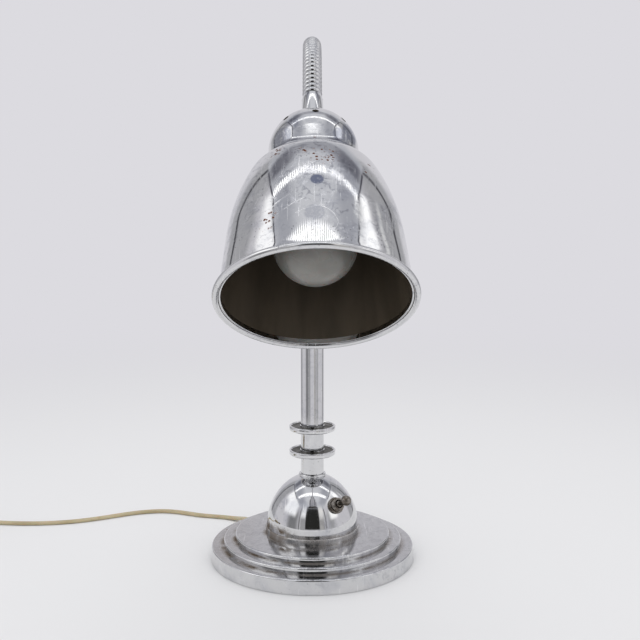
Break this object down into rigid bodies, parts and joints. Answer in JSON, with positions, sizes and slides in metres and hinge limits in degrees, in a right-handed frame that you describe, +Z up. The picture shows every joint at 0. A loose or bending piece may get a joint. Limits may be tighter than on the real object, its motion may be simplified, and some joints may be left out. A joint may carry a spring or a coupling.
{
  "type": "gooseneck desk lamp",
  "caption": "Desk lamp with a stepped round base, domed switch housing, disc-trimmed stem, ribbed gooseneck, tilted bell shade with vented cap, frosted bulb and flat cord with plug.",
  "frame": {"origin": "centre of the felt face that the base rests on", "axes": "+Z up the stem, -Y out along the gooseneck towards the shade, +X to the right for one who faces the shade"},
  "size_m": [0.4689, 0.3644, 0.398],
  "materials": {
    "chrome": "aged bright chrome plate",
    "shade_metal": "aged bright chrome outside, dark lacquer inside",
    "brass": "plain turned brass",
    "cast_iron": "as cast",
    "steel": "plain",
    "felt": "felt",
    "dark_bronze": "dark tarnished plate",
    "phenolic": "moulded phenolic",
    "porcelain": "glazed insulator",
    "glass": "frosted",
    "aluminium": "pressed",
    "cord": "aged clear-gold vinyl",
    "wire": "plain",
    "tie": "plain"
  },
  "bodies": {
    "base": {"base_felt": "felt", "base_weight": "cast_iron", "base_shell": "chrome", "base_nut": "brass", "base_washer": "steel", "lamp_pipe": "brass", "dome": "chrome", "dome_band": "chrome", "neck_ring": "chrome", "lower_spacer": "chrome", "lower_disc": "chrome", "upper_spacer": "chrome", "upper_disc": "chrome", "stem_tube": "chrome", "stem_ferrule": "chrome", "cord_bushing": "phenolic", "cord_inner": "cord", "switch_body": "phenolic", "switch_bushing": "brass", "switch_washer": "steel", "switch_nut": "dark_bronze", "switch_terminals": "brass", "switch_leads": "wire", "cord_run": "cord", "cord_coil": "cord", "cord_tie": "tie", "plug_body": "phenolic", "plug_blades": "brass"},
    "toggle": {"switch_lever": "dark_bronze"},
    "neck_1": {"neck_link_1": "chrome"},
    "neck_2": {"neck_link_2": "chrome"},
    "neck_3": {"neck_link_3": "chrome"},
    "neck_4": {"neck_link_4": "chrome"},
    "neck_5": {"neck_link_5": "chrome"},
    "neck_6": {"neck_link_6": "chrome"},
    "neck_7": {"neck_link_7": "chrome"},
    "neck_8": {"neck_link_8": "chrome"},
    "neck_9": {"neck_link_9": "chrome"},
    "neck_10": {"neck_link_10": "chrome"},
    "head": {"neck_collar": "chrome", "shade_nipple": "brass", "shade_locknut": "brass", "shade": "shade_metal", "socket_cap": "brass", "socket_shell": "brass", "socket_body": "porcelain", "screw_shell": "brass", "centre_contact": "brass", "socket_leads": "wire", "bulb_glass": "glass", "bulb_cap": "aluminium", "bulb_insulator": "phenolic", "filament_mount": "glass"}
  },
  "joints": [
    {"name": "neck_lower_bend", "type": "hinge", "parent": "base", "child": "neck_1", "pos_m": [0, 0, 0.22196], "axis": [0.9999, 0.0105, 0], "range_deg": [-12, 8]},
    {"name": "neck_side_bend", "type": "hinge", "parent": "neck_1", "child": "neck_2", "pos_m": [0, 0, 0.25032], "axis": [0.0105, -0.9999, 0], "range_deg": [-10, 10]},
    {"name": "neck_lower_bend_2", "type": "hinge", "parent": "neck_2", "child": "neck_3", "pos_m": [0, 0, 0.27868], "axis": [0.9999, 0.0105, 0], "range_deg": [-12, 8]},
    {"name": "neck_side_bend_2", "type": "hinge", "parent": "neck_3", "child": "neck_4", "pos_m": [0, 0, 0.30704], "axis": [0.0105, -0.9999, 0], "range_deg": [-10, 10]},
    {"name": "neck_lower_bend_3", "type": "hinge", "parent": "neck_4", "child": "neck_5", "pos_m": [0, -0.00026, 0.33539], "axis": [0.9999, 0.0105, 0], "range_deg": [-12, 8]},
    {"name": "neck_side_bend_3", "type": "hinge", "parent": "neck_5", "child": "neck_6", "pos_m": [0.0001, -0.00914, 0.36206], "axis": [0.0089, -0.8526, -0.5225], "range_deg": [-10, 10]},
    {"name": "neck_upper_bend", "type": "hinge", "parent": "neck_6", "child": "neck_7", "pos_m": [0.0003, -0.02887, 0.38207], "axis": [0.9999, 0.0105, 0], "range_deg": [-12, 8]},
    {"name": "neck_side_bend_4", "type": "hinge", "parent": "neck_7", "child": "neck_8", "pos_m": [0.00058, -0.05542, 0.39132], "axis": [0.0011, -0.1061, -0.9944], "range_deg": [-10, 10]},
    {"name": "neck_upper_bend_2", "type": "hinge", "parent": "neck_8", "child": "neck_9", "pos_m": [0.00087, -0.08332, 0.38788], "axis": [0.9999, 0.0105, 0], "range_deg": [-12, 8]},
    {"name": "neck_side_bend_5", "type": "hinge", "parent": "neck_9", "child": "neck_10", "pos_m": [0.00112, -0.10683, 0.37248], "axis": [-0.0076, 0.7232, -0.6906], "range_deg": [-10, 10]},
    {"name": "neck_upper_bend_3", "type": "hinge", "parent": "neck_10", "child": "head", "pos_m": [0.00129, -0.12357, 0.34963], "axis": [0.9999, 0.0105, 0], "range_deg": [-12, 8]},
    {"name": "switch_throw", "type": "hinge", "parent": "base", "child": "toggle", "pos_m": [0.01891, -0.02603, 0.04948], "axis": [0.2983, -0.4106, -0.8616], "range_deg": [0, 14]}
  ],
  "couplings": [
    {"joint": "neck_lower_bend_2", "follows": "neck_lower_bend", "ratio": 1},
    {"joint": "neck_side_bend_2", "follows": "neck_side_bend", "ratio": 1},
    {"joint": "neck_lower_bend_3", "follows": "neck_lower_bend", "ratio": 1},
    {"joint": "neck_side_bend_3", "follows": "neck_side_bend", "ratio": 1},
    {"joint": "neck_side_bend_4", "follows": "neck_side_bend", "ratio": 1},
    {"joint": "neck_upper_bend_2", "follows": "neck_upper_bend", "ratio": 1},
    {"joint": "neck_side_bend_5", "follows": "neck_side_bend", "ratio": 1},
    {"joint": "neck_upper_bend_3", "follows": "neck_upper_bend", "ratio": 1}
  ]
}
